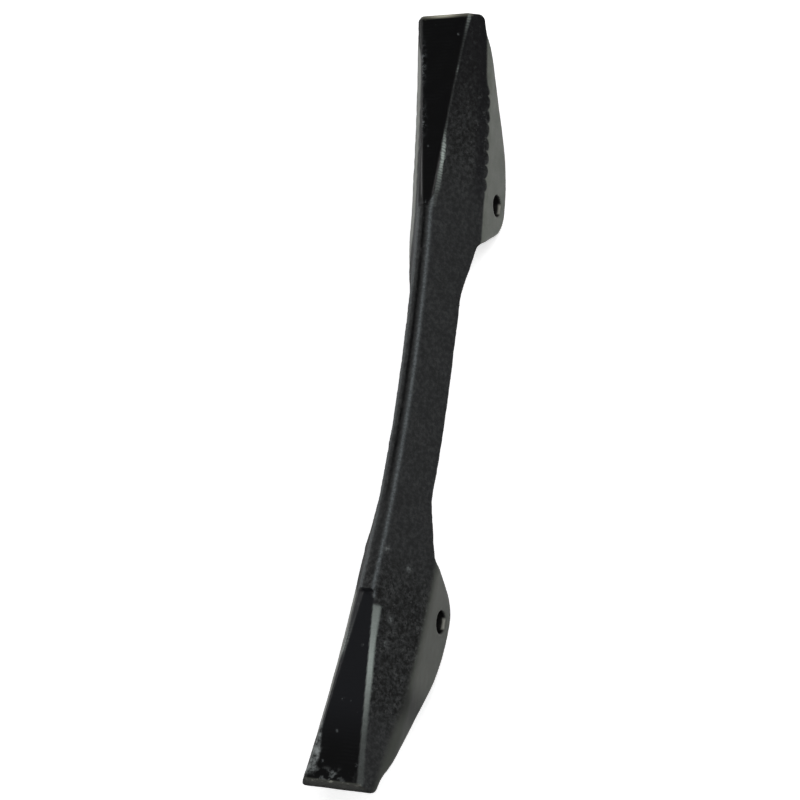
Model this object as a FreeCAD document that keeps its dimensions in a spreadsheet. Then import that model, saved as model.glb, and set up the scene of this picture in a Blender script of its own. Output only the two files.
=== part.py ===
"""Reversible plough shin: a curved wear bar that saddles the front edge of a plough leg.

The bar is one forging. It is bent to one even radius, so both ends reach forward, and both
ends have ears and a chisel facet, so that it can be turned round when one end is worn. It
lies here on its back, on the noses of its four ears, with the soil side up.

Frame: X across the bar, Y along it, Z up towards the soil side. Every size along the bar is
an arc length on the crest, counted from the middle, and every depth is counted from the crest
towards the leg, square to the bend. All sizes are millimetres.
"""
import FreeCAD
import Part
import math
import os
import Sketcher

# The whole bar
bend_radius = 650
end_arc = 234

# The prow: a narrow flat crest, rounded into two flanks that sweep back to the cheeks
crest_half_flat = 1.5
crest_round = 4.5
neck_half_width = 19.5
neck_cheek_depth = 34.1
head_half_width = 25.5
head_cheek_depth = 40
shoulder_round = 12
blank_depth = 82

# The waist between the two heads
neck_arc = 63
head_arc = 92
neck_depth = 28.6
waist_round = 60
base_depth = 34.2

# The ears behind each head
root_round = 8
ear_lean = 56
hole_arc = 124
nose_depth = 50.2
nose_round = 21
belly_round = 80
ear_rake = 40.5
heel_arc = 223
heel_depth = 35.3
heel_round = 30
tip_depth = 34
tip_round = 4

# The slot between the ears, for a 30 mm leg, and the cross hole for an M12 bolt
slot_half_width = 15.5
slot_floor_depth = 34.6
slot_bevel = 2
hole_diameter = 13.5
hole_depth = 56.6

# The chisel facets across the crest, with a bevel down both long sides. One runs out shallow
# towards the middle, the other is shorter and starts at a blunt step.
facet_arc = 113
facet_start_depth = 1.4
facet_start_half = 2.2
short_facet_arc = 127
short_start_depth = 3.8
short_start_half = 3.4
facet_end_depth = 22
facet_end_half = 15.6
bevel_lean = 25

# Small roundings of the forging
edge_round = 1.8
rim_bevel = 0.7

# How far the blank and the cuts run on past the bar, and how far out the cutting outlines reach
overrun = 8
reach = 60

doc = FreeCAD.newDocument("plough_shin")
dims = doc.addObject("Spreadsheet::Sheet", "dims")
for row, (name, value) in enumerate((
    ("bend_radius", bend_radius), ("end_arc", end_arc),
    ("crest_half_flat", crest_half_flat), ("crest_round", crest_round),
    ("neck_half_width", neck_half_width), ("neck_cheek_depth", neck_cheek_depth),
    ("head_half_width", head_half_width), ("head_cheek_depth", head_cheek_depth),
    ("shoulder_round", shoulder_round), ("blank_depth", blank_depth),
    ("neck_arc", neck_arc), ("head_arc", head_arc),
    ("neck_depth", neck_depth), ("waist_round", waist_round),
    ("base_depth", base_depth), ("root_round", root_round),
    ("ear_lean", ear_lean), ("hole_arc", hole_arc),
    ("nose_depth", nose_depth), ("nose_round", nose_round),
    ("belly_round", belly_round), ("ear_rake", ear_rake),
    ("heel_arc", heel_arc), ("heel_depth", heel_depth),
    ("heel_round", heel_round), ("tip_depth", tip_depth),
    ("tip_round", tip_round), ("slot_half_width", slot_half_width),
    ("slot_floor_depth", slot_floor_depth), ("slot_bevel", slot_bevel),
    ("hole_diameter", hole_diameter), ("hole_depth", hole_depth),
    ("facet_arc", facet_arc), ("facet_start_depth", facet_start_depth),
    ("facet_start_half", facet_start_half), ("facet_end_depth", facet_end_depth),
    ("short_facet_arc", short_facet_arc), ("short_start_depth", short_start_depth),
    ("short_start_half", short_start_half), ("facet_end_half", facet_end_half),
    ("bevel_lean", bevel_lean),
    ("edge_round", edge_round), ("rim_bevel", rim_bevel),
    ("overrun", overrun), ("reach", reach),
), 1):
    dims.set(f"A{row}", name)
    dims.set(f"B{row}", str(value))
    dims.setAlias(f"B{row}", name)
doc.recompute()
body = doc.addObject("PartDesign::Body", "shin")
body.Label = "shin"


def plane_of(role):
    """The origin plane of the body that has this role."""
    for feature in body.Origin.OriginFeatures:
        if feature.Role == role:
            return feature
    raise RuntimeError("no origin plane " + role)


def across(arc, depth):
    """Distance along Y of the point at this arc length and depth, from the two size names."""
    return (bend_radius + depth) * math.sin(arc / bend_radius)


def above(arc, depth):
    """Height over the lowest point of the crest of the point at this arc length and depth."""
    return bend_radius - (bend_radius + depth) * math.cos(arc / bend_radius)


def across_rule(arc, depth):
    """The rule in words of the sheet for the distance along Y."""
    return f"(dims.bend_radius + {depth}) * sin({arc} / dims.bend_radius * 1 rad)"


def above_rule(arc, depth):
    """The rule in words of the sheet for the height."""
    return f"dims.bend_radius - (dims.bend_radius + {depth}) * cos({arc} / dims.bend_radius * 1 rad)"


class Outline:
    """A closed run of lines and arcs in one sketch, each joined to the one before it."""

    def __init__(self, name, plane):
        self.sketch = body.newObject("Sketcher::SketchObject", name)
        self.sketch.AttachmentSupport = [(plane, "")]
        self.sketch.MapMode = "FlatFace"
        self.pieces = []

    def line(self, start, end):
        """Adds a straight edge from start to end."""
        a = FreeCAD.Vector(start[0], start[1], 0)
        b = FreeCAD.Vector(end[0], end[1], 0)
        index = self.sketch.addGeometry(Part.LineSegment(a, b), False)
        self.pieces.append((index, 1, 2))
        return index

    def arc(self, centre, start, end, anticlockwise):
        """Adds a circular edge about centre from start to end."""
        middle = FreeCAD.Vector(centre[0], centre[1], 0)
        first, last = (start, end) if anticlockwise else (end, start)
        radius = math.hypot(first[0] - centre[0], first[1] - centre[1])
        circle = Part.Circle(middle, FreeCAD.Vector(0, 0, 1), radius)
        a = math.atan2(first[1] - centre[1], first[0] - centre[0])
        b = math.atan2(last[1] - centre[1], last[0] - centre[0])
        index = self.sketch.addGeometry(Part.ArcOfCircle(circle, a, b), False)
        self.pieces.append((index, 1, 2) if anticlockwise else (index, 2, 1))
        return index

    def join(self, smooth):
        """Joins the pieces end to start; smooth lists the joints that are tangent."""
        for number, (index, _, last) in enumerate(self.pieces):
            following, first, _ = self.pieces[(number + 1) % len(self.pieces)]
            kind = "Tangent" if number in smooth else "Coincident"
            self.sketch.addConstraint(Sketcher.Constraint(kind, index, last, following, first))

    def fix(self, *what, rule=None):
        """Adds a constraint and binds its value to a rule of the sheet."""
        number = self.sketch.addConstraint(Sketcher.Constraint(*what))
        if rule is not None:
            self.sketch.setExpression(f"Constraints[{number}]", rule)

    def place(self, index, position, point, rules):
        """Holds one point of a piece at two distances from the origin of the sketch."""
        self.fix("DistanceX", -1, 1, index, position, point[0], rule=rules[0])
        self.fix("DistanceY", -1, 1, index, position, point[1], rule=rules[1])

    def mark(self, arc, depth, arc_rule, depth_rule):
        """Adds a construction point at this arc length and depth."""
        spot = (across(arc, depth), above(arc, depth))
        index = self.sketch.addGeometry(Part.Point(FreeCAD.Vector(spot[0], spot[1], 0)), True)
        self.place(index, 1, spot, (across_rule(arc_rule, depth_rule), above_rule(arc_rule, depth_rule)))
        return index


def prow_section(name, arc, arc_rule, half, half_rule, cheek, cheek_rule):
    """Cross-section of the blank at one arc length: crest flat, flanks, cheeks and a deep back.

    The sketch plane is turned about the axis of the bend, so its own y axis points from the
    crest to the centre of the bend and depths run down it.
    """
    outline = Outline(name, plane_of("XZ_Plane"))
    sketch = outline.sketch
    turn = arc / bend_radius
    base = FreeCAD.Vector(0, above(arc, 0), -across(arc, 0))
    sketch.AttachmentOffset = FreeCAD.Placement(
        base, FreeCAD.Rotation(FreeCAD.Vector(1, 0, 0), math.degrees(turn)))
    sketch.setExpression("AttachmentOffset.Base.y", above_rule(arc_rule, "0"))
    sketch.setExpression("AttachmentOffset.Base.z", "-1 * " + across_rule(arc_rule, "0"))
    sketch.setExpression("AttachmentOffset.Rotation.Angle", f"{arc_rule} / dims.bend_radius * 1 rad")

    flat = crest_half_flat
    crest = crest_round
    shoulder = shoulder_round
    back = blank_depth
    # The flank leans back by an angle that both roundings are tangent to.
    wide = half - shoulder - flat
    deep = cheek - crest
    lean = math.acos((crest - shoulder) / math.hypot(wide, deep)) - math.atan2(deep, wide)
    normal = (math.cos(lean), math.sin(lean))
    front = (flat + crest * normal[0], -crest + crest * normal[1])
    rear = (half - shoulder + shoulder * normal[0], -cheek + shoulder * normal[1])

    g0 = outline.line((-flat, 0), (flat, 0))
    g1 = outline.arc((flat, -crest), (flat, 0), front, False)
    g2 = outline.line(front, rear)
    g3 = outline.arc((half - shoulder, -cheek), rear, (half, -cheek), False)
    g4 = outline.line((half, -cheek), (half, -back))
    g5 = outline.line((half, -back), (-half, -back))
    g6 = outline.line((-half, -back), (-half, -cheek))
    g7 = outline.arc((shoulder - half, -cheek), (-half, -cheek), (-rear[0], rear[1]), False)
    g8 = outline.line((-rear[0], rear[1]), (-front[0], front[1]))
    g9 = outline.arc((-flat, -crest), (-front[0], front[1]), (-flat, 0), False)
    outline.join(smooth=(0, 1, 2, 3, 6, 7, 8, 9))
    outline.fix("Horizontal", g0)
    outline.fix("PointOnObject", g0, 1, -1)
    outline.fix("Vertical", g4)
    outline.fix("Horizontal", g5)
    outline.fix("Vertical", g6)
    outline.fix("DistanceX", -1, 1, g0, 2, flat, rule="dims.crest_half_flat")
    outline.fix("DistanceX", g0, 1, -1, 1, flat, rule="dims.crest_half_flat")
    outline.fix("Radius", g1, crest, rule="dims.crest_round")
    outline.fix("Radius", g9, crest, rule="dims.crest_round")
    outline.fix("Radius", g3, shoulder, rule="dims.shoulder_round")
    outline.fix("Radius", g7, shoulder, rule="dims.shoulder_round")
    outline.fix("DistanceX", -1, 1, g4, 1, half, rule=half_rule)
    outline.fix("DistanceX", g6, 2, -1, 1, half, rule=half_rule)
    outline.fix("DistanceY", g4, 1, -1, 1, cheek, rule=cheek_rule)
    outline.fix("DistanceY", g6, 2, -1, 1, cheek, rule=cheek_rule)
    outline.fix("DistanceY", g4, 2, -1, 1, back, rule="dims.blank_depth")
    # Axis of the bend, square to the crest at the centre of the bend
    axis = sketch.addGeometry(
        Part.LineSegment(FreeCAD.Vector(-20, bend_radius, 0), FreeCAD.Vector(20, bend_radius, 0)), True)
    outline.fix("Horizontal", axis)
    outline.fix("DistanceX", axis, 1, -1, 1, 20)
    outline.fix("DistanceX", -1, 1, axis, 2, 20)
    outline.fix("DistanceY", -1, 1, axis, 1, bend_radius, rule="dims.bend_radius")
    return sketch


neck_sizes = (neck_half_width, "dims.neck_half_width",
              neck_cheek_depth, "dims.neck_cheek_depth")
head_sizes = (head_half_width, "dims.head_half_width",
              head_cheek_depth, "dims.head_cheek_depth")
between_sizes = ((neck_sizes[0] + head_sizes[0]) / 2,
                 "(dims.neck_half_width + dims.head_half_width) / 2",
                 (neck_sizes[2] + head_sizes[2]) / 2,
                 "(dims.neck_cheek_depth + dims.head_cheek_depth) / 2")

# Neck: the slim section swept round the bend, to both sides of the middle
middle_section = prow_section("middle_section", 0, "0", *neck_sizes)
neck = body.newObject("PartDesign::Revolution", "neck")
neck.Profile = middle_section
neck.ReferenceAxis = (middle_section, ["Axis0"])
neck.Midplane = True
neck.setExpression("Angle", "2 * dims.neck_arc / dims.bend_radius * 1 rad")
doc.recompute()

# Shoulder: the section grows from neck to head over a short run
neck_end = prow_section("neck_end", neck_arc, "dims.neck_arc", *neck_sizes)
between = prow_section("between", (neck_arc + head_arc) / 2,
                       "(dims.neck_arc + dims.head_arc) / 2", *between_sizes)
head_start = prow_section("head_start", head_arc, "dims.head_arc", *head_sizes)
shoulder_loft = body.newObject("PartDesign::AdditiveLoft", "shoulder_loft")
shoulder_loft.Profile = neck_end
shoulder_loft.Sections = [between, head_start]
doc.recompute()

# Head: the wide section swept on round the same bend, past the end of the bar
head = body.newObject("PartDesign::Revolution", "head")
head.Profile = head_start
head.ReferenceAxis = (head_start, ["Axis0"])
head.setExpression("Angle", "(dims.end_arc + dims.overrun - dims.head_arc) / dims.bend_radius * 1 rad")
doc.recompute()

mirrored_blank = body.newObject("PartDesign::Mirrored", "mirrored_blank")
mirrored_blank.Originals = [shoulder_loft, head]
mirrored_blank.MirrorPlane = (plane_of("XZ_Plane"), [""])
body.Tip = mirrored_blank
doc.recompute()

# Back of the bar, as seen from the side: the waist, the ear with its round nose, the long
# rake down to the tip, and the square end. All that lies outside this line is cut away.
profile = Outline("back_profile", plane_of("YZ_Plane"))
waist_start = (across(-overrun, neck_depth), above(-overrun, neck_depth))
waist_end = (across(neck_arc, neck_depth), above(neck_arc, neck_depth))
base = (across(head_arc, base_depth), above(head_arc, base_depth))
nose = (across(hole_arc, nose_depth), above(hole_arc, nose_depth))
heel = (across(heel_arc, heel_depth), above(heel_arc, heel_depth))
tip = (across(end_arc, tip_depth), above(end_arc, tip_depth))
outside = (across(end_arc, -overrun), above(end_arc, -overrun))
far = outside[0] + reach
low = -blank_depth - reach


def toward(start, end, distance):
    """The point at this distance from start on the way to end."""
    span = math.hypot(end[0] - start[0], end[1] - start[1])
    return (start[0] + (end[0] - start[0]) * distance / span,
            start[1] + (end[1] - start[1]) * distance / span)


lean = math.radians(ear_lean)
rake = math.radians(ear_rake)
# Inner side of the ear, tangent to the nose on the side of the waist
nose_in = (nose[0] - nose_round * math.sin(lean), nose[1] - nose_round * math.cos(lean))
root = (nose_in[0] - 24 * math.cos(lean), nose_in[1] + 24 * math.sin(lean))
# Belly of the ear, tangent to the nose inside and to the rake
rake_normal = (-math.sin(rake), math.cos(rake))
nose_off = (nose[0] - heel[0]) * rake_normal[0] + (nose[1] - heel[1]) * rake_normal[1]
belly_off = belly_round - nose_off
along = math.sqrt((belly_round - nose_round) ** 2 - belly_off ** 2)
belly = (nose[0] + belly_off * rake_normal[0] + along * math.cos(rake),
         nose[1] + belly_off * rake_normal[1] + along * math.sin(rake))
nose_out = toward(belly, nose, belly_round)
rake_end = (belly[0] - belly_round * rake_normal[0], belly[1] - belly_round * rake_normal[1])

before_waist = (across(neck_arc - 4, neck_depth), above(neck_arc - 4, neck_depth))
p0 = profile.arc((0, bend_radius), waist_start, before_waist, True)
w0 = profile.arc(toward(before_waist, (0, bend_radius), -waist_round),
                 before_waist, toward(waist_end, base, 4), False)
p1 = profile.line(toward(waist_end, base, 4), toward(base, waist_end, 3))
p2 = profile.arc((base[0] - 1, base[1] - 8), toward(base, waist_end, 3), root, False)
p3 = profile.line(root, nose_in)
p4 = profile.arc(nose, nose_in, nose_out, True)
p5 = profile.arc(belly, nose_out, rake_end, True)
p6 = profile.line(rake_end, toward(heel, rake_end, 4))
heel_bend = toward(heel, rake_end, 4)
heel_centre = (heel_bend[0] + heel_round * math.sin(rake),
               heel_bend[1] - heel_round * math.cos(rake))
h0 = profile.arc(heel_centre, heel_bend, toward(heel, tip, 4), False)
p7 = profile.line(toward(heel, tip, 4), toward(tip, heel, tip_round))
p8 = profile.arc(toward(tip, ((heel[0] + outside[0]) / 2, (heel[1] + outside[1]) / 2), 5.5),
                 toward(tip, heel, tip_round), toward(tip, outside, tip_round), True)
p9 = profile.line(toward(tip, outside, tip_round), outside)
p10 = profile.line(outside, (far, outside[1]))
p11 = profile.line((far, outside[1]), (far, low))
p12 = profile.line((far, low), (waist_start[0], low))
p13 = profile.line((waist_start[0], low), waist_start)
profile.join(smooth=(0, 1, 2, 3, 4, 5, 6, 7, 8, 9, 10))
waist_mark = profile.mark(neck_arc, neck_depth, "dims.neck_arc", "dims.neck_depth")
heel_mark = profile.mark(heel_arc, heel_depth, "dims.heel_arc", "dims.heel_depth")
base_mark = profile.mark(head_arc, base_depth, "dims.head_arc", "dims.base_depth")
tip_mark = profile.mark(end_arc, tip_depth, "dims.end_arc", "dims.tip_depth")
profile.place(p0, 3, (0, bend_radius), (None, "dims.bend_radius"))
profile.fix("DistanceX", -1, 1, p0, 1, waist_start[0],
            rule=across_rule("-1 * dims.overrun", "dims.neck_depth"))
profile.fix("Radius", p0, bend_radius + neck_depth, rule="dims.bend_radius + dims.neck_depth")
profile.fix("Radius", w0, waist_round, rule="dims.waist_round")
profile.fix("PointOnObject", waist_mark, 1, p1)
profile.fix("PointOnObject", base_mark, 1, p1)
profile.fix("Radius", p2, root_round, rule="dims.root_round")
profile.fix("Angle", -2, 2, p3, 1, math.radians(90 - ear_lean), rule="(90 - dims.ear_lean) * 1 deg")
profile.place(p4, 3, nose, (across_rule("dims.hole_arc", "dims.nose_depth"),
                            above_rule("dims.hole_arc", "dims.nose_depth")))
profile.fix("Radius", p4, nose_round, rule="dims.nose_round")
profile.fix("Radius", p5, belly_round, rule="dims.belly_round")
profile.fix("Angle", p6, rake, rule="dims.ear_rake * 1 deg")
profile.fix("PointOnObject", heel_mark, 1, p6)
profile.fix("Radius", h0, heel_round, rule="dims.heel_round")
profile.fix("PointOnObject", heel_mark, 1, p7)
profile.fix("PointOnObject", tip_mark, 1, p7)
profile.fix("Radius", p8, tip_round, rule="dims.tip_round")
outside_across = across_rule("dims.end_arc", "-1 * dims.overrun")
profile.place(p9, 2, outside, (outside_across, above_rule("dims.end_arc", "-1 * dims.overrun")))
profile.fix("PointOnObject", tip_mark, 1, p9)
profile.fix("Horizontal", p10)
profile.fix("DistanceX", -1, 1, p10, 2, far, rule=outside_across + " + dims.reach")
profile.fix("Vertical", p11)
profile.fix("DistanceY", p11, 2, -1, 1, -low, rule="dims.blank_depth + dims.reach")
profile.fix("Horizontal", p12)
profile.fix("Vertical", p13)
doc.recompute()

back_cut = body.newObject("PartDesign::Pocket", "back_cut")
back_cut.Profile = profile.sketch
back_cut.Midplane = True
back_cut.setExpression("Length", "2 * (dims.head_half_width + dims.reach)")
doc.recompute()

# Chisel facet: one flat floor from its start in the crest down to the square end, with a bevel
# along both sides that eases it into the flanks. The cut runs on past the end.


def facet_section(name, along, along_rule, height, height_rule, half, half_rule):
    """Cross-section of a facet cut: the flat floor, a bevel on each side, open above."""
    outline = Outline(name, plane_of("XZ_Plane"))
    sketch = outline.sketch
    sketch.AttachmentOffset = FreeCAD.Placement(FreeCAD.Vector(0, 0, -along), FreeCAD.Rotation())
    sketch.setExpression("AttachmentOffset.Base.z", f"-1 * ({along_rule})")
    side = head_half_width + reach
    top = height + reach
    skirt = height - (side - half) * math.tan(math.radians(bevel_lean))
    b0 = outline.line((-half, height), (half, height))
    b1 = outline.line((half, height), (side, skirt))
    b2 = outline.line((side, skirt), (side, top))
    b3 = outline.line((side, top), (-side, top))
    b4 = outline.line((-side, top), (-side, skirt))
    b5 = outline.line((-side, skirt), (-half, height))
    outline.join(smooth=())
    outline.fix("Horizontal", b0)
    outline.fix("DistanceX", -1, 1, b0, 2, half, rule=half_rule)
    outline.fix("DistanceX", b0, 1, -1, 1, half, rule=half_rule)
    outline.fix("DistanceY", -1, 1, b0, 1, height, rule=height_rule)
    outline.fix("Angle", b1, math.radians(-bevel_lean), rule="-1 * dims.bevel_lean * 1 deg")
    outline.fix("Vertical", b2)
    outline.fix("Horizontal", b3)
    outline.fix("Vertical", b4)
    outline.fix("Angle", b5, math.radians(bevel_lean), rule="dims.bevel_lean * 1 deg")
    outline.fix("DistanceX", -1, 1, b3, 1, side, rule="dims.head_half_width + dims.reach")
    outline.fix("DistanceX", b3, 2, -1, 1, side, rule="dims.head_half_width + dims.reach")
    outline.fix("DistanceY", b0, 1, b3, 1, reach, rule="dims.reach")
    return sketch


def facet(name, end, start, start_rules):
    """One chisel facet, at the end of the bar that lies towards +Y or -Y, given by its sign.

    start holds the arc length, depth and half width of the floor where the facet starts, and
    start_rules their rules. The floor and its width grow evenly from there to the square end.
    """
    arc, depth, half = start
    arc_rule, depth_rule, half_rule = start_rules
    near = (across(arc, depth), above(arc, depth))
    edge = (across(end_arc, facet_end_depth), above(end_arc, facet_end_depth))
    near_across = across_rule(arc_rule, depth_rule)
    near_above = above_rule(arc_rule, depth_rule)
    edge_across = across_rule("dims.end_arc", "dims.facet_end_depth")
    edge_above = above_rule("dims.end_arc", "dims.facet_end_depth")
    share = overrun / (edge[0] - near[0])
    share_rule = f"dims.overrun / ({edge_across} - {near_across})"
    first = facet_section(name + "_start", end * near[0], f"{end} * ({near_across})",
                          near[1], near_above, half, half_rule)
    last = facet_section(
        name + "_end", end * (edge[0] + overrun), f"{end} * ({edge_across} + dims.overrun)",
        edge[1] + share * (edge[1] - near[1]),
        f"{edge_above} + {share_rule} * ({edge_above} - ({near_above}))",
        facet_end_half + share * (facet_end_half - half),
        f"dims.facet_end_half + {share_rule} * (dims.facet_end_half - {half_rule})")
    cut = body.newObject("PartDesign::SubtractiveLoft", name)
    cut.Profile = first
    cut.Sections = [last]
    cut.Ruled = True
    doc.recompute()
    return cut


# Cross hole through both ears
cross = Outline("cross_hole", plane_of("YZ_Plane"))
hole_spot = (across(hole_arc, hole_depth), above(hole_arc, hole_depth))
ring = cross.sketch.addGeometry(
    Part.Circle(FreeCAD.Vector(hole_spot[0], hole_spot[1], 0), FreeCAD.Vector(0, 0, 1),
                hole_diameter / 2), False)
cross.place(ring, 3, hole_spot, (across_rule("dims.hole_arc", "dims.hole_depth"),
                                 above_rule("dims.hole_arc", "dims.hole_depth")))
cross.fix("Diameter", ring, hole_diameter, rule="dims.hole_diameter")
doc.recompute()
hole_cut = body.newObject("PartDesign::Pocket", "hole_cut")
hole_cut.Profile = cross.sketch
hole_cut.Midplane = True
hole_cut.setExpression("Length", "2 * (dims.head_half_width + dims.reach)")
doc.recompute()

mirrored_cuts = body.newObject("PartDesign::Mirrored", "mirrored_cuts")
mirrored_cuts.Originals = [back_cut, hole_cut]
mirrored_cuts.MirrorPlane = (plane_of("XZ_Plane"), [""])
body.Tip = mirrored_cuts
doc.recompute()

long_facet = facet("long_facet", 1, (facet_arc, facet_start_depth, facet_start_half),
                   ("dims.facet_arc", "dims.facet_start_depth", "dims.facet_start_half"))
short_facet = facet("short_facet", -1, (short_facet_arc, short_start_depth, short_start_half),
                    ("dims.short_facet_arc", "dims.short_start_depth", "dims.short_start_half"))

# Slot that takes the front edge of the leg: flat walls, a floor that follows the bend, and a
# bevel in both corners between them
slot = Outline("slot_section", plane_of("XZ_Plane"))
wall = slot_half_width
floor = slot_floor_depth
corner = slot_bevel
mouth = blank_depth + overrun
s0 = slot.line((corner - wall, -floor), (wall - corner, -floor))
s1 = slot.line((wall - corner, -floor), (wall, -floor - corner))
s2 = slot.line((wall, -floor - corner), (wall, -mouth))
s3 = slot.line((wall, -mouth), (-wall, -mouth))
s4 = slot.line((-wall, -mouth), (-wall, -floor - corner))
s5 = slot.line((-wall, -floor - corner), (corner - wall, -floor))
slot.join(smooth=())
slot.fix("Horizontal", s0)
slot.fix("Vertical", s2)
slot.fix("Horizontal", s3)
slot.fix("Vertical", s4)
slot.fix("DistanceX", s1, 1, s1, 2, corner, rule="dims.slot_bevel")
slot.fix("DistanceY", s1, 2, s1, 1, corner, rule="dims.slot_bevel")
slot.fix("DistanceX", s5, 1, s5, 2, corner, rule="dims.slot_bevel")
slot.fix("DistanceY", s5, 1, s5, 2, corner, rule="dims.slot_bevel")
slot.fix("DistanceX", -1, 1, s2, 1, wall, rule="dims.slot_half_width")
slot.fix("DistanceX", s4, 2, -1, 1, wall, rule="dims.slot_half_width")
slot.fix("DistanceY", s0, 1, -1, 1, floor, rule="dims.slot_floor_depth")
slot.fix("DistanceY", s2, 2, -1, 1, mouth, rule="dims.blank_depth + dims.overrun")
slot_axis = slot.sketch.addGeometry(
    Part.LineSegment(FreeCAD.Vector(-20, bend_radius, 0), FreeCAD.Vector(20, bend_radius, 0)), True)
slot.fix("Horizontal", slot_axis)
slot.fix("DistanceX", slot_axis, 1, -1, 1, 20)
slot.fix("DistanceX", -1, 1, slot_axis, 2, 20)
slot.fix("DistanceY", -1, 1, slot_axis, 1, bend_radius, rule="dims.bend_radius")
doc.recompute()
slot_cut = body.newObject("PartDesign::Groove", "slot_cut")
slot_cut.Profile = slot.sketch
slot_cut.ReferenceAxis = (slot.sketch, ["Axis0"])
slot_cut.Midplane = True
slot_cut.setExpression("Angle", "2 * (dims.end_arc + dims.overrun) / dims.bend_radius * 1 rad")
doc.recompute()


def arc_length(point):
    """Arc length on the crest from the middle to the foot of this point, at either end."""
    return bend_radius * math.atan2(abs(point.y), bend_radius - point.z)


def edges_where(shape, test):
    """Names of the edges whose start, middle and end points all pass the test."""
    names = []
    for number, edge in enumerate(shape.Edges, 1):
        first, last = edge.ParameterRange
        points = [edge.valueAt(first + (last - first) * part) for part in (0.02, 0.5, 0.98)]
        if test(points, edge):
            names.append(f"Edge{number}")
    return names


back_line = Part.Compound([piece.toShape() for piece in profile.sketch.Geometry[:12]])


def on_back(point):
    """True where the point lies on the line that shapes the back of the bar."""
    return back_line.distToShape(Part.Vertex(abs(point.y), point.z, 0))[0] < 0.01


def spread(points):
    """How far across the bar these points lie from each other."""
    return max(abs(point.x) for point in points) - min(abs(point.x) for point in points)


# Outer edge of the back, from tip to tip round the ears and along the waist
outer_edges = edges_where(slot_cut.Shape, lambda points, edge: all(
    on_back(point) and abs(point.x) > slot_half_width + 0.5
    and arc_length(point) < end_arc - 0.01 for point in points)
    and spread(points) < 0.8 * edge.Length)
edge_fillet = body.newObject("PartDesign::Fillet", "edge_fillet")
edge_fillet.Base = (slot_cut, outer_edges)
edge_fillet.setExpression("Radius", "dims.edge_round")
doc.recompute()


def on_rim(point):
    """True where the point lies on the wall of a cross hole."""
    away = math.hypot(abs(point.y) - hole_spot[0], point.z - hole_spot[1])
    return abs(away - hole_diameter / 2) < 0.001


# Outer rims of the cross holes
rims = edges_where(edge_fillet.Shape, lambda points, edge: all(on_rim(point) for point in points)
                   and spread(points) < 0.001 and abs(points[0].x) > slot_half_width + 1)
rim_chamfer = body.newObject("PartDesign::Chamfer", "rim_chamfer")
rim_chamfer.Base = (edge_fillet, rims)
rim_chamfer.setExpression("Size", "dims.rim_bevel")
doc.recompute()

# The noses of the ears stand on the ground plane
nose_height = above_rule("dims.hole_arc", "dims.nose_depth")
body.setExpression("Placement.Base.z", f"dims.nose_round - ({nose_height})")
doc.recompute()

for thing in doc.Objects:
    if "Invalid" in thing.State or "Error" in thing.State:
        raise RuntimeError(f"{thing.Name} did not build")
    if thing.isDerivedFrom("PartDesign::Feature") and (thing.Shape.isNull() or not thing.Shape.isValid()):
        raise RuntimeError(f"{thing.Name} has no sound shape")
volumes = [feature.Shape.Volume for feature in (
    mirrored_blank, back_cut, hole_cut, mirrored_cuts, long_facet, short_facet, slot_cut,
    edge_fillet, rim_chamfer)]
for before_cut, after_cut in zip(volumes, volumes[1:]):
    if after_cut >= before_cut:
        raise RuntimeError("a cut took nothing away")
if len(body.Shape.Solids) != 1:
    raise RuntimeError("the bar is not one solid")

os.makedirs("parts", exist_ok=True)
body.Shape.exportStep("parts/shin.step")
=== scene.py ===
"""A reversible plough shin, lying on its back on a pale bench, seen from above its crest."""
import bmesh
import bpy
import math
import numpy as np
from mathutils import Matrix, Vector


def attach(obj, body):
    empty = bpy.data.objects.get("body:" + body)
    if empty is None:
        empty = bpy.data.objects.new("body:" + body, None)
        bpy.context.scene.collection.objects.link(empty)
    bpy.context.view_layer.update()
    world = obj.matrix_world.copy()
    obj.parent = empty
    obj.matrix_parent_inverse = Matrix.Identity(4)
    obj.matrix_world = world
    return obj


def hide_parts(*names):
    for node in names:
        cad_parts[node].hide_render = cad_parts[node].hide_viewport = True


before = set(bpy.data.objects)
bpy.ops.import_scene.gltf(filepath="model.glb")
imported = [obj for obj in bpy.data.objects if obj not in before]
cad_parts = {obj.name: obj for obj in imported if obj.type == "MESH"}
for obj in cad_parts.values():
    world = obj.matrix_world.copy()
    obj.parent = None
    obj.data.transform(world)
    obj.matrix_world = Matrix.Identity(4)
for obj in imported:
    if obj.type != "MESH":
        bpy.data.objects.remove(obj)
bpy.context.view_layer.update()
scene = bpy.context.scene

# Camera: it stands over the bar, a little to its right and below its middle, and looks at the
# middle of the crest. It is framed for a square picture, 800 pixels a side.
crest_middle = Vector((0, 0, 0.0584974))
to_camera = Vector((0.4070, -0.2696, 0.8727)).normalized()
camera_distance = 1.0225
camera_roll = 0.1451
level_right = Vector((0, 1, 0)).cross(to_camera).normalized()
level_up = to_camera.cross(level_right)
camera_x = level_right * math.cos(camera_roll) + level_up * math.sin(camera_roll)
camera_y = level_up * math.cos(camera_roll) - level_right * math.sin(camera_roll)
camera_data = bpy.data.cameras.new("bench_camera")
camera_data.sensor_width = 36
camera_data.lens = 76.69
camera_data.shift_x = -0.0068
camera_data.shift_y = -0.0192
camera = bpy.data.objects.new("bench_camera", camera_data)
turn = Matrix((camera_x, camera_y, to_camera)).transposed().to_4x4()
camera.matrix_world = Matrix.Translation(crest_middle + to_camera * camera_distance) @ turn
scene.collection.objects.link(camera)
scene.camera = camera

# Bench: a matt white card that runs out of the picture. It keeps the soft shadow of the bar, and
# where nothing shades it, it is white to the camera. Nothing here is polished or clear enough to
# show it, so it is lifted for the camera's own rays alone.
card_half = 4.0
card_lift = 0.62


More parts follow.
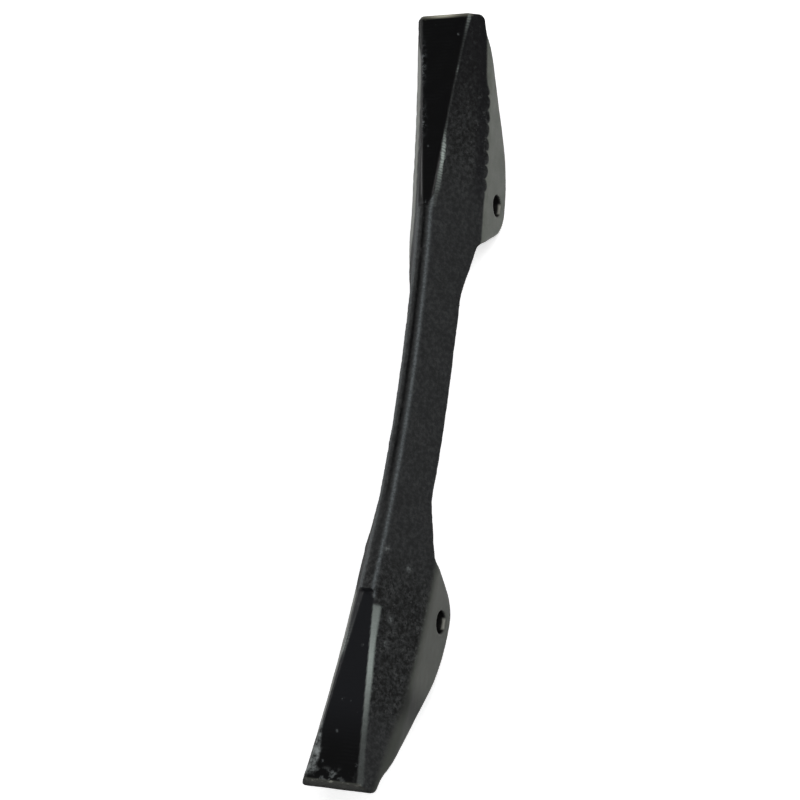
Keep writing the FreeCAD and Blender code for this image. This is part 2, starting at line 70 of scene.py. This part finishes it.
def linear(code):
    """Linear colour of an sRGB hex code: each channel over 0.04045 is a 2.4 power, else a line."""
    channels = np.array([int(code[i:i + 2], 16) for i in (1, 3, 5)]) / 255
    low = channels / 12.92
    high = ((channels + 0.055) / 1.055) ** 2.4
    return (*np.where(channels <= 0.04045, low, high), 1.0)


def add_node(tree, kind, settings=(), inputs=()):
    """Adds one node to a tree and sets its properties and its inputs. An input is given either a
    socket of another node, which is linked into it, or its own value."""
    node = tree.nodes.new(kind)
    for name, value in dict(settings).items():
        setattr(node, name, value)
    for name, value in dict(inputs).items():
        if isinstance(value, bpy.types.NodeSocket):
            tree.links.new(value, node.inputs[name])
        else:
            node.inputs[name].default_value = value
    return node


card_mesh = bpy.data.meshes.new("white_card")
card_mesh.from_pydata(
    [(-card_half, -card_half, 0), (card_half, -card_half, 0),
     (card_half, card_half, 0), (-card_half, card_half, 0)], [], [(0, 1, 2, 3)])
card = bpy.data.objects.new("white_card", card_mesh)
scene.collection.objects.link(card)
card_paint = bpy.data.materials.new("matt_white_card")
card_paint.use_nodes = True
tree = card_paint.node_tree
tree.nodes.clear()
rays = add_node(tree, "ShaderNodeLightPath")
seen = add_node(tree, "ShaderNodeMath", {"operation": "MULTIPLY"},
                {0: rays.outputs["Is Camera Ray"], 1: card_lift})
matt = add_node(tree, "ShaderNodeBsdfDiffuse", inputs={"Color": linear("#f0f0f0")})
glow = add_node(tree, "ShaderNodeEmission",
                inputs={"Color": (1, 1, 1, 1), "Strength": seen.outputs[0]})
both = add_node(tree, "ShaderNodeAddShader", inputs={0: matt.outputs[0], 1: glow.outputs[0]})
add_node(tree, "ShaderNodeOutputMaterial", inputs={"Surface": both.outputs[0]})
card_mesh.materials.append(card_paint)

# Light: a grey tent that is dim overhead, so that faces that look up stay dark, one soft box
# near the camera, whose shine runs along the bevels and the edges of the crest, and two low
# soft boxes at the sides.
tent_horizon, tent_top, tent_top_rise = 0.20, 0.05, 0.8
world = bpy.data.worlds.new("light_tent")
scene.world = world
world.use_nodes = True
tree = world.node_tree
tree.nodes.clear()
towards = add_node(tree, "ShaderNodeTexCoord")
split = add_node(tree, "ShaderNodeSeparateXYZ", inputs={0: towards.outputs["Generated"]})
dimmed = add_node(tree, "ShaderNodeMapRange",
                  inputs={"Value": split.outputs["Z"], "From Min": 0.0,
                          "From Max": tent_top_rise, "To Min": tent_horizon,
                          "To Max": tent_top})
rays = add_node(tree, "ShaderNodeLightPath")
shown = add_node(tree, "ShaderNodeMath", {"operation": "MAXIMUM"},
                 {0: dimmed.outputs["Result"], 1: rays.outputs["Is Camera Ray"]})
tent = add_node(tree, "ShaderNodeBackground",
                inputs={"Color": (1, 1, 1, 1), "Strength": shown.outputs[0]})
add_node(tree, "ShaderNodeOutputWorld", inputs={"Surface": tent.outputs[0]})

for name, where, width, height, power in (
        ("camera_box", (0.60, 0.12, 1.28), 0.8, 0.8, 11),
        ("right_box", (0.75, -1.15, 0.60), 1.0, 0.5, 3),
        ("left_box", (-1.15, 0.30, 0.50), 1.0, 0.5, 8)):
    lamp = bpy.data.lights.new(name, "AREA")
    lamp.shape = "RECTANGLE"
    lamp.size = width
    lamp.size_y = height
    lamp.energy = power
    box = bpy.data.objects.new(name, lamp)
    aim = (crest_middle - Vector(where)).to_track_quat("-Z", "Y").to_matrix().to_4x4()
    box.matrix_world = Matrix.Translation(where) @ aim
    scene.collection.objects.link(box)

# Shin: one steel forging, hot pressed to a prow with a saddle of ears behind, shot blasted and
# dipped in thin black paint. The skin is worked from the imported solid: a close even mesh, with
# the slight waves, pits and battered edges of a forging pressed into it. All sizes are in mm.
bend_radius = 650.0
skin_cell, skin_share_kept = 0.8, 0.57
# Each facet's end, the arc and depth where its floor starts, and its half width there
long_facet = (1, 113.0, 1.4, 2.2)
short_facet = (-1, 127.0, 3.8, 3.4)
end_arc, facet_end_depth, facet_end_half = 234.0, 22.0, 15.6
bevel_lean = math.radians(25)
hole_arc, hole_depth, hole_radius = 124.0, 56.6, 6.75

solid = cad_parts["shin"].data.copy()
work = bmesh.new()
work.from_mesh(solid)
bmesh.ops.remove_doubles(work, verts=work.verts, dist=1e-6)
work.to_mesh(solid)
work.free()
draft = bpy.data.objects.new("shin_draft", solid)
scene.collection.objects.link(draft)
even = draft.modifiers.new("even_skin", "REMESH")
even.mode = "VOXEL"
even.voxel_size = skin_cell / 1000
ease = draft.modifiers.new("ease", "SMOOTH")
ease.factor = 0.5
ease.iterations = 2
thin = draft.modifiers.new("thin", "DECIMATE")
thin.ratio = skin_share_kept
bpy.context.view_layer.update()
skinned = draft.evaluated_get(bpy.context.evaluated_depsgraph_get())
shin_mesh = bpy.data.meshes.new_from_object(skinned)
bpy.data.objects.remove(draft)
shin_mesh.name = "shin_forging"


def read_points(mesh, what):
    """Positions or normals of the vertices of a mesh, as rows of three."""
    flat = np.empty(len(mesh.vertices) * 3, dtype=np.float32)
    mesh.vertices.foreach_get(what, flat)
    return flat.reshape(-1, 3).astype(float)


def crest_point(at_arc, at_depth):
    """Distance along Y and height of the point at this arc length and depth: it lies on the
    circle about the centre of the bend whose radius is the bend's and the depth."""
    angle = at_arc / bend_radius
    return ((bend_radius + at_depth) * math.sin(angle),
            bend_radius - (bend_radius + at_depth) * math.cos(angle) + crest_middle.z * 1000)


def waves(points, size, seed, number=24):
    """Soft random field of unit spread: a sum of plane waves in even random directions, with
    wavelengths near size."""
    draw = np.random.default_rng(seed)
    aim = draw.normal(size=(number, 3))
    aim /= np.linalg.norm(aim, axis=1, keepdims=True)
    pace = 2 * math.pi / (size * draw.uniform(0.75, 1.5, number))
    phase = draw.uniform(0, 2 * math.pi, number)
    return np.sqrt(2 / number) * np.cos(points @ (aim * pace[:, None]).T + phase).sum(axis=1)


def rise(value, low, high):
    """Smooth rise from 0 at low to 1 at high: 3 t squared less 2 t cubed."""
    t = np.clip((value - low) / (high - low), 0, 1)
    return t * t * (3 - 2 * t)


def fall(value, low, high):
    """Smooth fall from 1 at low to 0 at high: what a rise between them leaves."""
    return 1 - rise(value, low, high)


def between(value, low, full, still_full, high):
    """1 from full to still_full, with a smooth rise from low before and a fall to high after."""
    return rise(value, low, full) * fall(value, still_full, high)


def bell(value, middle, width):
    """Rounded peak: e to the power of minus half the square of the distance in widths."""
    return np.exp(-0.5 * ((value - middle) / width) ** 2)


# Each point's place on the bar: its arc length along the crest, towards the long facet and
# towards the short one, its depth behind the crest, and its distance from the middle plane
place = read_points(shin_mesh, "co") * 1000
normal = read_points(shin_mesh, "normal")
across, along, height = place.T
under_centre = bend_radius + crest_middle.z * 1000 - height
arc = bend_radius * np.arctan2(along, under_centre)
low_arc = -arc
run = np.abs(arc)
depth = np.hypot(along, under_centre) - bend_radius
side = np.abs(across)
right = rise(across, -0.2, 0.2)
left = 1 - right


def facet_sides(end, start_arc, start_depth, start_half):
    """Where each point lies on one facet. The floor falls evenly from its start to the square
    end and its half width grows evenly with it, and the bevels lean down from its sides. It
    gives masks of what is past the start and of what is beside the floor, the half width of
    the floor, and the height over the floor and its bevels."""
    start_y, start_z = crest_point(start_arc, start_depth)
    end_y, end_z = crest_point(end_arc, facet_end_depth)
    share = (along * end - start_y) / (end_y - start_y)
    half = start_half + share * (facet_end_half - start_half)
    past_floor = side - half
    over = height - (start_z + share * (end_z - start_z))
    over = over + np.maximum(past_floor, 0) * math.tan(bevel_lean)
    begun = rise(along * end, start_y - 1.2, start_y - 0.2)
    return begun, begun * rise(past_floor, -0.4, 0.4), half, over


begun_long, beside_long, half_long, over_long = facet_sides(*long_facet)
begun_short, beside_short, half_short, over_short = facet_sides(*short_facet)

# Floors, dipped soot black. The long one's black closes in a V where it runs out in the crest,
# and the short one's starts with a rounded corner.
black_half = np.minimum(half_long + 1.4 * fall(arc, 138, 160),
                        0.9 + 0.45 * (arc - long_facet[1]))
floor_long = begun_long * rise(black_half - side, -0.5, 0.5) * rise(over_long, -1.0, -0.5)
floor_short = begun_short * rise(half_short - side, -0.4, 0.4) * rise(over_short, -1.0, -0.5)
corner_arc, corner_shift, corner_radius = 131.2, 0.8, 3.9
from_corner = np.hypot(across + corner_shift, np.minimum(low_arc - corner_arc, 0))
floor_short *= np.where(low_arc < corner_arc, rise(corner_radius - from_corner, -0.4, 0.4), 1)

# Bevels on the right: painted pale, partly as rubbed metal and partly as painted highlight.
# Beside the long facet they are bright near its start and thin further out, and beside the
# short one they are a straight band that hems the flank
widen = 0.9 * between(arc, 118, 126, 146, 162)
bevel_long = beside_long * rise(over_long + widen, -0.6, -0.15)
bevel_long *= rise(side - black_half, -0.4, 0.4)
shine_long = 0.05 + 0.12 * between(arc, 118, 126, 150, 164) + 0.75 * bell(arc, 145, 8)
shine_long += 0.24 * bell(arc, 232, 5) + 0.30 * bell(arc, 199, 1.5)
hem = 0.6 * fall(low_arc, 155, 178)
bevel_short = beside_short * rise(over_short - hem, -2.1, -0.9) * rise(low_arc, 134, 136)
shine_short = 0.08 + 0.58 * bell(low_arc, 168, 18) + 0.16 * bell(low_arc, 139, 8)

# Bevels on the left: painted black with the edge of the flank, as painted shade, but for one
# length of painted highlight and the worn corner at the end of the short facet
left_bevel_shine = left * beside_short * between(over_short, -5.4, -4.0, -0.6, 0.2)
left_bevel_shine *= between(low_arc, 140, 152, 160, 166.5) * (0.30 + 0.48 * rise(low_arc, 147, 160))
worn_edge = half_short - 3.6 * rise(low_arc, 204, 222)
worn = left * between(low_arc, 200, 206, 229, 232) * rise(over_short, -2.2, -1.2)
worn *= rise(side - worn_edge, -0.6, 0.6)
shaded_left_bevel = left * np.maximum(
    beside_long * rise(over_long + 3.4 * rise(arc, 114, 128), -0.4, 0.4),
    beside_short * rise(over_short, -3.4, -2.4))
shaded_left_bevel *= 1 - np.minimum(left_bevel_shine * 3, 1)

# All that is black: the floors, the left bevels, a spot of painted shade for a notch where the
# right bevel starts, and the short walls where the facets start
notch_shade = right * bell(low_arc, 133.6, 1.0) * bell(side, 4.6, 0.8)
facet = np.maximum.reduce([floor_long, floor_short, shaded_left_bevel, notch_shade])
floor = facet * np.maximum(floor_long, floor_short) * (1 - worn)
wall = rise(np.abs(normal[:, 1]), 0.34, 0.5) * between(run, 110, 112, 132, 134)
wall_half = np.where(arc > 0, 2.6, 10 - 6.4 * right)
facet = np.maximum(facet, wall * rise(wall_half - side, 0, 1)) * (1 - worn)
nicks = left * bell(side, half_long - 0.6, 1.0) * (bell(arc, 204, 7) + bell(arc, 168, 6))
end_chips = 0.7 * facet * rise(low_arc, 226, 229.5) * bell(across, -2, 7)
bevel = right * (bevel_long * shine_long + bevel_short * shine_short) + left_bevel_shine

# Cheeks: the flanks' dark skin ends over them, in rounded teeth at one end and soft at the
# other, and higher up on the left heads, where the cheeks' grey, a painted sheen, reaches up
# the left flank
tooth_pitch = 8.3
tooth = np.sqrt(np.abs(np.sin(math.pi * (arc - 3.1) / tooth_pitch)))
teeth = between(arc, 122, 132, 184, 194) * (0.9 + 0.15 * waves(place, 14, 6))
left_low = left * between(low_arc, 112, 126, 200, 212)
left_flank_sheen = left * between(arc, 66, 105, 205, 226) + left_low
border = 35.4 + teeth * (3.2 * tooth - 1.1) - 1.5 * rise(arc, 185, 200)
border += -4.0 * rise(low_arc, 150, 225) - 18.0 * left_flank_sheen
blur = 0.7 + 2.2 * rise(low_arc, 60, 110) + 4.5 * left_flank_sheen
cheek = rise(depth - border, -blur, blur) * rise(side + 10 * left_flank_sheen, 19.5, 22.5)
cheek *= rise(run, 70, 90)
tail = 0.40 * rise(low_arc, 160, 176) + 0.5 * bell(low_arc, 179, 7) * right
low_end = 1 - np.maximum(rise(arc, 0, 1), left_low)

# Crest: a black core of painted shade between two pale lines of painted highlight, a narrow one
# on the right and a broad faint one on the left
core = fall(side, 0.6, 1.8) * fall(depth, 1.0, 3.0) * (1 - facet)
core *= (0.25 + 0.75 * fall(low_arc, 40, 105)) * fall(low_arc, 120, 128)
right_line = right * bell(side, 3.7, 0.65) * fall(depth, 4.0, 6.0)
left_line = left * (0.55 - 0.42 * rise(run, 126, 140)) * between(side, 2.6, 4.0, 7, 13)
crest_lines_shine = (right_line + left_line) * (1 - facet)

# Flanks: rough and speckled on the heads, darker towards the long head's end, and with a band
# of painted shade along the shoulder under the teeth
prow = (1 - facet) * (1 - np.minimum(bevel * 2, 1)) * (1 - cheek) * fall(depth, 35, 41)
head = rise(arc, 112, 165) + between(low_arc, 92, 130, 182, 208)
darker_to_end = rise(arc, 140, 224)
shoulder_shade = bell(depth, 31.5, 2.5) * rise(arc, 118, 135) * rise(side, 17, 20)
scuff = 0
for at_arc, at_side, size in ((-139.5, 12.5, 0.6), (-154, 13, 0.55), (-101, 6.1, 0.6),
                              (-107, 15, 0.65), (-186, 11, 0.6)):
    scuff = scuff + right * bell(arc, at_arc, 2 * size) * bell(side, at_side, size)

# Square ends with their rims, and the cross holes, whose walls are near black, their black paint
# deepened by painted shade, with a painted glint on the side away from the crest
end_face = rise(run, 233.2, 233.8)
end_edge = rise(low_arc, 232.8, 233.5) * bell(depth, 22.4, 0.8)
top_rim = rise(arc, 231.9, 232.6) * fall(depth, 24, 25) * (0.2 + 0.8 * bell(across, -1, 6))
hole_y, hole_z = crest_point(hole_arc, hole_depth)
from_hole = np.hypot(np.abs(along) - hole_y, height - hole_z)
in_hole = fall(from_hole, hole_radius + 0.15, hole_radius + 0.55)
hole_glint = in_hole * rise((hole_z - height) / np.maximum(from_hole, 1), 0.80, 0.95)
hole_glint *= rise(side, 22.6, 24)

# Waves of the forging, coarse on the flanks and faint on the cheeks, grit from the blasting, and
# the teeth of the flanks' edge, which stand a little proud
lift = (0.10 * waves(place, 16, 3) + 0.05 * waves(place, 5, 4)) * (0.35 + 0.65 * prow)
lift += 0.07 * np.maximum(waves(place, 2.2, 5, 40) - 0.9, 0) * prow
lift += 0.30 * teeth * tooth * bell(depth, 35.5, 1.8) * rise(side, 19.5, 22.5)
lift *= (1 - in_hole) * (1 - end_face) * (1 - 0.8 * facet)
moved = (place + normal * lift[:, None]) / 1000
shin_mesh.vertices.foreach_set("co", moved.astype(np.float32).ravel())
marks = {
    "head": head, "shoulder_shade": 0.7 * shoulder_shade, "darker_to_end": 0.85 * darker_to_end,
    "grain_share": head * (0.45 - 0.32 * darker_to_end), "prow": prow, "scuff": scuff,
    "cheek": cheek, "low_end": low_end, "tail": tail, "crest_lines_shine": crest_lines_shine, "core": core,
    "facet": facet, "grey_facet": between(low_arc, 120, 124, 185, 222), "nicks": nicks,
    "end_chips": end_chips, "bevel": bevel, "worn": worn, "end_face": end_face,
    "end_shade": np.clip((depth - 26) / 4, 0, 1), "end_edge": end_edge, "top_rim": top_rim,
    "in_hole": in_hole, "hole_glint": 0.8 * hole_glint,
    "dullness": 0.64 - 0.29 * cheek - 0.30 * floor - 0.34 * core}
for name, value in marks.items():
    layer = shin_mesh.attributes.new(name, "FLOAT", "POINT")
    layer.data.foreach_set("value", value.astype(np.float32))
shin_mesh.polygons.foreach_set("use_smooth", np.ones(len(shin_mesh.polygons), dtype=bool))
shin_mesh.update()
shin = bpy.data.objects.new("shin_forging", shin_mesh)
scene.collection.objects.link(shin)

# Thin black bitumen paint on blasted steel: dull and speckled where the skin is rough, smooth
# on the cheeks, which a painted sheen greys, soot black on the facets and pale along the bevels,
# partly rubbed metal and partly painted highlight.
paint = bpy.data.materials.new("black_paint_on_forged_steel")
paint.use_nodes = True
tree = paint.node_tree
tree.nodes.clear()
on_bar = add_node(tree, "ShaderNodeTexCoord").outputs["Object"]
level = {name: add_node(tree, "ShaderNodeAttribute", {"attribute_name": name}).outputs["Fac"]
         for name in marks}

# Patterns of the paint: each is a noise with the size of its cells in mm, its detail and its
# roughness, and the noise levels at which the pattern starts and is full
for name, cell_mm, detail, roughness, none, full in (
        ("speck", 2.6, 4.0, 0.7, 0.43, 0.66),
        ("fine_speck", 1.5, 2.0, 0.6, 0.40, 0.62),
        ("grains", 3.6, 2.0, 0.6, 0.56, 0.66),
        ("cloud", 14, 3.0, 0.55, 0.35, 0.68),
        ("line_fields", 9, 2.0, 0.5, 0.42, 0.62),
        ("chip_shapes", 1.4, 2.0, 0.5, 0.45, 0.60),
        ("end_scars", 4.2, 2.0, 0.6, 0.53, 0.70),
        ("paint_gone", 3.0, 3.0, 0.7, 0.34, 0.46),
        ("small_scars", 2.4, 3.0, 0.7, 0.48, 0.60),
        ("blotches", 3.6, 3.0, 0.6, 0.40, 0.66),
        ("scale_flakes", 4, 3.0, 0.6, 0.55, 0.62),
        ("rung_fields", 3.5, 2.0, 0.5, 0.0, 1.0),
        ("grit", 1.9, 3.0, 0.7, 0.0, 1.0)):
    cells = add_node(tree, "ShaderNodeTexNoise", {"noise_dimensions": "3D"},
                     {"Vector": on_bar, "Scale": 1000 / cell_mm, "Detail": detail,
                      "Roughness": roughness})
    level[name] = add_node(tree, "ShaderNodeMapRange",
                           inputs={"Value": cells.outputs["Fac"], "From Min": none,
                                   "From Max": full}).outputs["Result"]

# Fine lines that the press left across the facets, and the rungs that it left on the bevels,
# with their spacing in mm. The wave pattern repeats ten times in a length of pi.
for name, spacing_mm, bent in (("press_lines", 2.2, 3.5), ("rungs", 1.8, 5.0)):
    level[name] = add_node(tree, "ShaderNodeTexWave",
                           {"wave_type": "BANDS", "bands_direction": "Y"},
                           {"Vector": on_bar, "Scale": math.pi / 10 * 1000 / spacing_mm,
                            "Distortion": bent, "Detail": 2.0,
                            "Detail Scale": 1.5}).outputs["Fac"]

# Chips: a dot in a few of the cells, which are 2.6 mm across
chip_cells = add_node(tree, "ShaderNodeTexVoronoi", {"feature": "F1"},
                      {"Vector": on_bar, "Scale": 1000 / 2.6})
chip_draw = add_node(tree, "ShaderNodeSeparateColor", inputs={0: chip_cells.outputs["Color"]})
for name, value, none, full in (("chip_cells", chip_draw.outputs[0], 0.965, 0.985),
                                ("chip_dots", chip_cells.outputs["Distance"], 0.5, 0.25)):
    level[name] = add_node(tree, "ShaderNodeMapRange",
                           inputs={"Value": value, "From Min": none,
                                   "From Max": full}).outputs["Result"]

# Sums of these levels: the lines on the facets, how bare and how brightly painted with highlight
# the bevels are, how far the crest's painted highlight lines and the scuffs show, the roughness,
# and the height of the relief. Each row gives its name, the sum and its terms.
for name, operation, *terms in (
        ("striae", "MULTIPLY", "press_lines", "line_fields"),
        ("rung_marks", "MULTIPLY_ADD", "rungs", 0.6, "rung_fields"),
        ("rung_marks", "SUBTRACT", "rung_marks", 0.50),
        ("rung_marks", "DIVIDE", "rung_marks", 0.45),
        ("rung_marks", "MINIMUM", "rung_marks", 1.0),
        ("bare_and_shine", "MULTIPLY_ADD", "paint_gone", 0.36, 0.74),
        ("bare_and_shine", "MULTIPLY_ADD", "rungs", -0.24, "bare_and_shine"),
        ("bare_and_shine", "MULTIPLY", "bare_and_shine", "low_end"),
        ("bare_and_shine", "MAXIMUM", "bare_and_shine", "rung_marks"),
        ("bare_and_shine", "MULTIPLY_ADD", "bare_and_shine", 0.55, 0.5),
        ("bare_and_shine", "MULTIPLY", "bare_and_shine", "bevel"),
        ("crest_highlight_tone", "MULTIPLY_ADD", "fine_speck", 0.6, 0.58),
        ("crest_highlight_tone", "MULTIPLY", "crest_highlight_tone", "crest_lines_shine"),
        ("scuffed", "ADD", "fine_speck", 0.3),
        ("scuffed", "MULTIPLY", "scuffed", "scuff"),
        ("scuffed", "MINIMUM", "scuffed", 1.0),
        ("roughness", "MULTIPLY_ADD", "bare_and_shine", -0.15, "dullness"),
        ("relief", "MULTIPLY", "striae", "facet"),
        ("relief", "MULTIPLY", "relief", 0.08),
        ("relief", "MULTIPLY_ADD", "grit", "prow", "relief")):
    inputs = {index: level.get(term, term) for index, term in enumerate(terms)}
    level[name] = add_node(tree, "ShaderNodeMath", {"operation": operation}, inputs).outputs[0]


def lay_coats(base, *coats):
    """Colour of a base with coats laid over it in turn. A coat is its colour and the shares of
    the surface that it covers, which are multiplied together. Colours are hex codes or sockets,
    and shares are names of levels or numbers."""
    for colour, first_share, *shares in coats:
        cover = level[first_share]
        for share in shares:
            cover = add_node(tree, "ShaderNodeMath", {"operation": "MULTIPLY"},
                             {0: cover, 1: level.get(share, share)}).outputs[0]
        below, above = (linear(tone) if isinstance(tone, str) else tone
                        for tone in (base, colour))
        base = add_node(tree, "ShaderNodeMix", {"data_type": "RGBA"},
                        {"Factor": cover, 6: below, 7: above}).outputs[2]
    return base


head_paint = lay_coats("#010101", ("#3b3d3d", "speck"), ("#353737", "fine_speck", 0.22))
# The flank paint darkens towards the long head's end, and carries a band of painted shade along
# the shoulder.
flank_paint = lay_coats(
    "#232425", ("#383a3a", "speck"), (head_paint, "head"), ("#111212", "cloud", 0.3),
    ("#06060c", "shoulder_shade"), ("#020205", "darker_to_end"),
    ("#585a5a", "grains", "fine_speck", "grain_share"))
# The cheeks' grey is a painted sheen over their black paint; it is dimmer towards the low end and
# darkest in a band near the low tip.
cheek_sheen_paint = lay_coats(
    "#656962", ("#72756f", "cloud"), ("#454843", "fine_speck", 0.16),
    ("#4a4c47", "low_end", 0.8), ("#20221f", "tail"))
facet_paint = lay_coats(
    "#070708", ("#101112", "striae", 0.5), ("#18191c", "grey_facet"),
    ("#565a5b", "chip_cells", "chip_dots", "chip_shapes", 0.7),
    ("#858a8a", "end_scars", "end_chips"))
worn_corner = lay_coats("#2c2e2e", ("#8a8f8f", "blotches"))
# The end faces darken towards the back: painted shade.
end_steel = lay_coats("#343531", ("#111211", "end_shade"))
end_rim = lay_coats("#4c4d49", ("#8d8e85", "scale_flakes"))
# Over the flanks and cheeks go the crest's painted highlight lines and its core of painted shade,
# the bevels' pale paint, partly painted highlight, and the holes' painted shade and glint.
colour = lay_coats(
    flank_paint, (cheek_sheen_paint, "cheek"), ("#5e6365", "crest_highlight_tone"), ("#020203", "core"),
    (facet_paint, "facet"), ("#aeb8b3", "bare_and_shine"), ("#5c6062", "small_scars", "nicks"),
    ("#707474", "scuffed", 0.7), (worn_corner, "worn"), (end_steel, "end_face"),
    (end_rim, "end_edge"), ("#b4b3a2", "top_rim"), ("#0c0c0c", "in_hole"),
    ("#9c9c94", "hole_glint"))
bump = add_node(tree, "ShaderNodeBump",
                inputs={"Strength": 0.8, "Distance": 0.0006, "Height": level["relief"]})
surface = add_node(tree, "ShaderNodeBsdfPrincipled",
                   inputs={"IOR": 1.5, "Specular IOR Level": 0.2, "Base Color": colour,
                           "Roughness": level["roughness"], "Normal": bump.outputs[0]})
add_node(tree, "ShaderNodeOutputMaterial", inputs={"Surface": surface.outputs[0]})
shin_mesh.materials.clear()
shin_mesh.materials.append(paint)
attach(shin, "root")
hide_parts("shin")

scene.view_settings.view_transform = "Standard"
